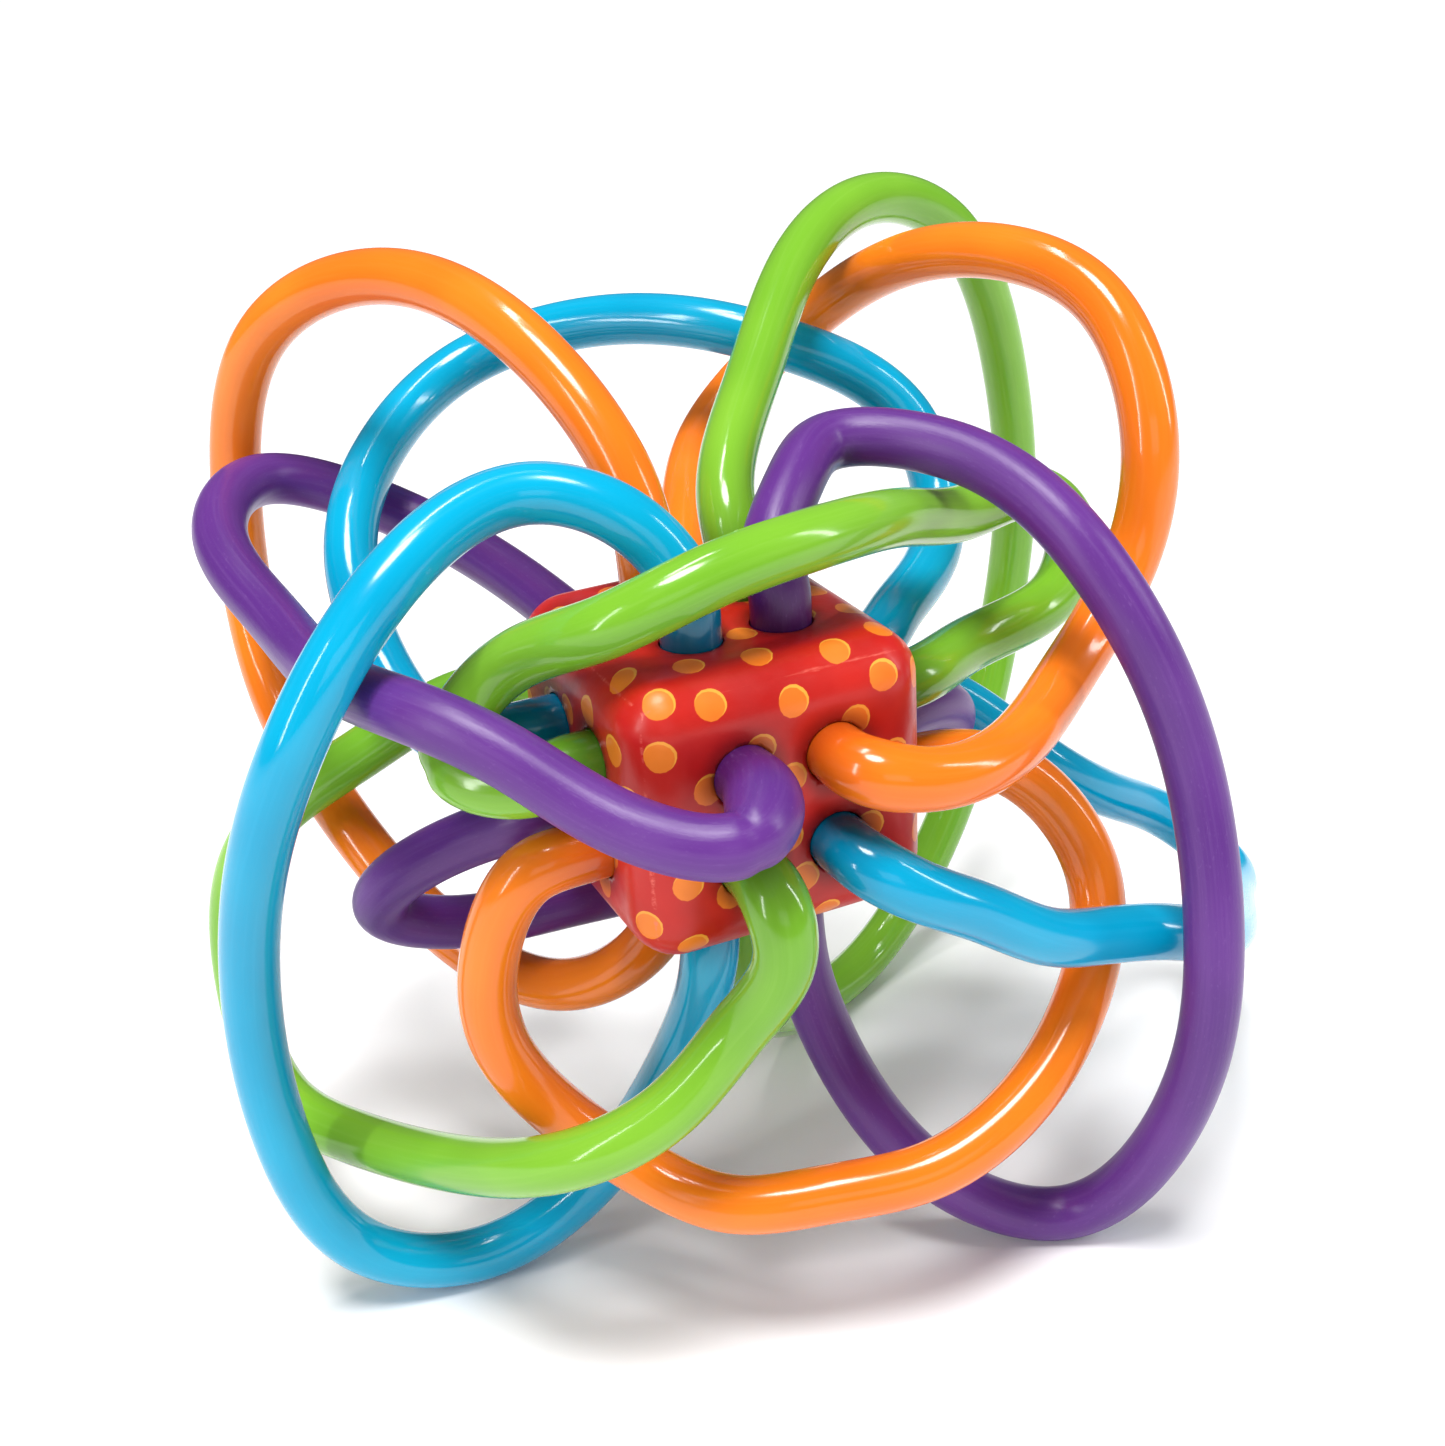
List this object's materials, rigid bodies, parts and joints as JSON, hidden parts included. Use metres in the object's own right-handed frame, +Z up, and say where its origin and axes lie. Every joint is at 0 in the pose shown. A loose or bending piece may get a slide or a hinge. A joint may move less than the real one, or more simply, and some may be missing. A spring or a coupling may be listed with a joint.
{
  "type": "loop rattle toy",
  "caption": "Baby's grasping rattle: a printed hollow cube with soft coloured tubes looped through its faces and loose beads in a capsule inside.",
  "frame": {"origin": "middle of the bounding box, on the floor the loops rest on", "axes": "+X to the right across the cube, +Y from its front face to its back face, +Z up"},
  "size_m": [0.1402, 0.1077, 0.1185],
  "materials": {
    "cube_shell": "moulded red plastic under the cover",
    "printed_film": "satin red film printed with orange spots, soft at the edges",
    "orange_tube": "glossy soft plastic with long sharp highlights",
    "blue_tube": "glossy soft plastic with long sharp highlights",
    "green_tube": "glossy soft plastic with long sharp highlights",
    "purple_tube": "satin soft plastic, slightly scuffed",
    "plug": "natural moulded plastic",
    "capsule": "natural moulded plastic",
    "bead": "glossy plastic"
  },
  "bodies": {
    "cube": {"cube_shell_upper": "cube_shell", "cube_shell_lower": "cube_shell", "printed_cover": "printed_film", "rattle_capsule_upper": "capsule", "rattle_capsule_lower": "capsule"},
    "orange_upright_loop": {"orange_upright_loop": "orange_tube", "orange_upright_plug_bottom": "plug", "orange_upright_plug_top": "plug"},
    "orange_fore_aft_loop": {"orange_fore_aft_loop": "orange_tube", "orange_fore_aft_plug_front": "plug", "orange_fore_aft_plug_back": "plug"},
    "orange_crosswise_loop": {"orange_crosswise_loop": "orange_tube", "orange_crosswise_plug_left": "plug", "orange_crosswise_plug_right": "plug"},
    "blue_upright_loop": {"blue_upright_loop": "blue_tube", "blue_upright_plug_bottom": "plug", "blue_upright_plug_top": "plug"},
    "blue_crosswise_loop": {"blue_crosswise_loop": "blue_tube", "blue_crosswise_plug_left": "plug", "blue_crosswise_plug_right": "plug"},
    "blue_fore_aft_loop": {"blue_fore_aft_loop": "blue_tube", "blue_fore_aft_plug_front": "plug", "blue_fore_aft_plug_back": "plug"},
    "green_upright_loop": {"green_upright_loop": "green_tube", "green_upright_plug_bottom": "plug", "green_upright_plug_top": "plug"},
    "green_crosswise_loop": {"green_crosswise_loop": "green_tube", "green_crosswise_plug_left": "plug", "green_crosswise_plug_right": "plug"},
    "green_fore_aft_loop": {"green_fore_aft_loop": "green_tube", "green_fore_aft_plug_front": "plug", "green_fore_aft_plug_back": "plug"},
    "purple_fore_aft_loop": {"purple_fore_aft_loop": "purple_tube", "purple_fore_aft_plug_front": "plug", "purple_fore_aft_plug_back": "plug"},
    "purple_upright_loop": {"purple_upright_loop": "purple_tube", "purple_upright_plug_bottom": "plug", "purple_upright_plug_top": "plug"},
    "purple_crosswise_loop": {"purple_crosswise_loop": "purple_tube", "purple_crosswise_plug_left": "plug", "purple_crosswise_plug_right": "plug"},
    "rattle_bead_1": {"rattle_bead_1": "bead"},
    "rattle_bead_2": {"rattle_bead_2": "bead"},
    "rattle_bead_3": {"rattle_bead_3": "bead"},
    "rattle_bead_4": {"rattle_bead_4": "bead"}
  },
  "joints": [
    {"name": "orange_upright_sway", "type": "hinge", "parent": "cube", "child": "orange_upright_loop", "pos_m": [-0.0183, -0.013, 0.06742], "axis": [0, 0, 1], "range_deg": [-4, 2], "stiffness_Nm_per_rad": 1.5},
    {"name": "orange_fore_aft_sway", "type": "hinge", "parent": "cube", "child": "orange_fore_aft_loop", "pos_m": [-0.0079, -0.0182, 0.07262], "axis": [0, 1, 0], "range_deg": [-1, 4], "stiffness_Nm_per_rad": 1.5},
    {"name": "orange_crosswise_sway", "type": "hinge", "parent": "cube", "child": "orange_crosswise_loop", "pos_m": [-0.0131, -0.0234, 0.06222], "axis": [1, 0, 0], "range_deg": [-1.5, 4], "stiffness_Nm_per_rad": 1.5},
    {"name": "blue_upright_sway", "type": "hinge", "parent": "cube", "child": "blue_upright_loop", "pos_m": [-0.0183, -0.0234, 0.06742], "axis": [0, 0, 1], "range_deg": [-1.5, 4], "stiffness_Nm_per_rad": 1.5},
    {"name": "blue_crosswise_sway", "type": "hinge", "parent": "cube", "child": "blue_crosswise_loop", "pos_m": [-0.0131, -0.013, 0.07262], "axis": [1, 0, 0], "range_deg": [-0.5, 4], "stiffness_Nm_per_rad": 1.5},
    {"name": "blue_fore_aft_sway", "type": "hinge", "parent": "cube", "child": "blue_fore_aft_loop", "pos_m": [-0.0079, -0.0182, 0.06222], "axis": [0, 1, 0], "range_deg": [-4, 2], "stiffness_Nm_per_rad": 1.5},
    {"name": "green_upright_sway", "type": "hinge", "parent": "cube", "child": "green_upright_loop", "pos_m": [-0.0079, -0.013, 0.06742], "axis": [0, 0, 1], "range_deg": [-2, 4], "stiffness_Nm_per_rad": 1.5},
    {"name": "green_crosswise_sway", "type": "hinge", "parent": "cube", "child": "green_crosswise_loop", "pos_m": [-0.0131, -0.0234, 0.07262], "axis": [1, 0, 0], "range_deg": [-3.5, 4], "stiffness_Nm_per_rad": 1.5},
    {"name": "green_fore_aft_sway", "type": "hinge", "parent": "cube", "child": "green_fore_aft_loop", "pos_m": [-0.0183, -0.0182, 0.06222], "axis": [0, 1, 0], "range_deg": [-3, 3], "stiffness_Nm_per_rad": 1.5},
    {"name": "purple_fore_aft_sway", "type": "hinge", "parent": "cube", "child": "purple_fore_aft_loop", "pos_m": [-0.0183, -0.0182, 0.07262], "axis": [0, 1, 0], "range_deg": [-4, 1], "stiffness_Nm_per_rad": 1.5},
    {"name": "purple_upright_sway", "type": "hinge", "parent": "cube", "child": "purple_upright_loop", "pos_m": [-0.0079, -0.0234, 0.06742], "axis": [0, 0, 1], "range_deg": [-4, 2], "stiffness_Nm_per_rad": 1.5},
    {"name": "purple_crosswise_sway", "type": "hinge", "parent": "cube", "child": "purple_crosswise_loop", "pos_m": [-0.0131, -0.013, 0.06222], "axis": [1, 0, 0], "range_deg": [-4, 4], "stiffness_Nm_per_rad": 1.5},
    {"name": "bead_1_rattle", "type": "slide", "parent": "cube", "child": "rattle_bead_1", "axis": [0, 0, 1], "range_m": [0, 0.008]},
    {"name": "bead_2_rattle", "type": "slide", "parent": "cube", "child": "rattle_bead_2", "axis": [0, 0, 1], "range_m": [0, 0.008]},
    {"name": "bead_3_rattle", "type": "slide", "parent": "cube", "child": "rattle_bead_3", "axis": [0, 0, 1], "range_m": [0, 0.008]},
    {"name": "bead_4_rattle", "type": "slide", "parent": "cube", "child": "rattle_bead_4", "axis": [0, 0, 1], "range_m": [0, 0.008]}
  ]
}
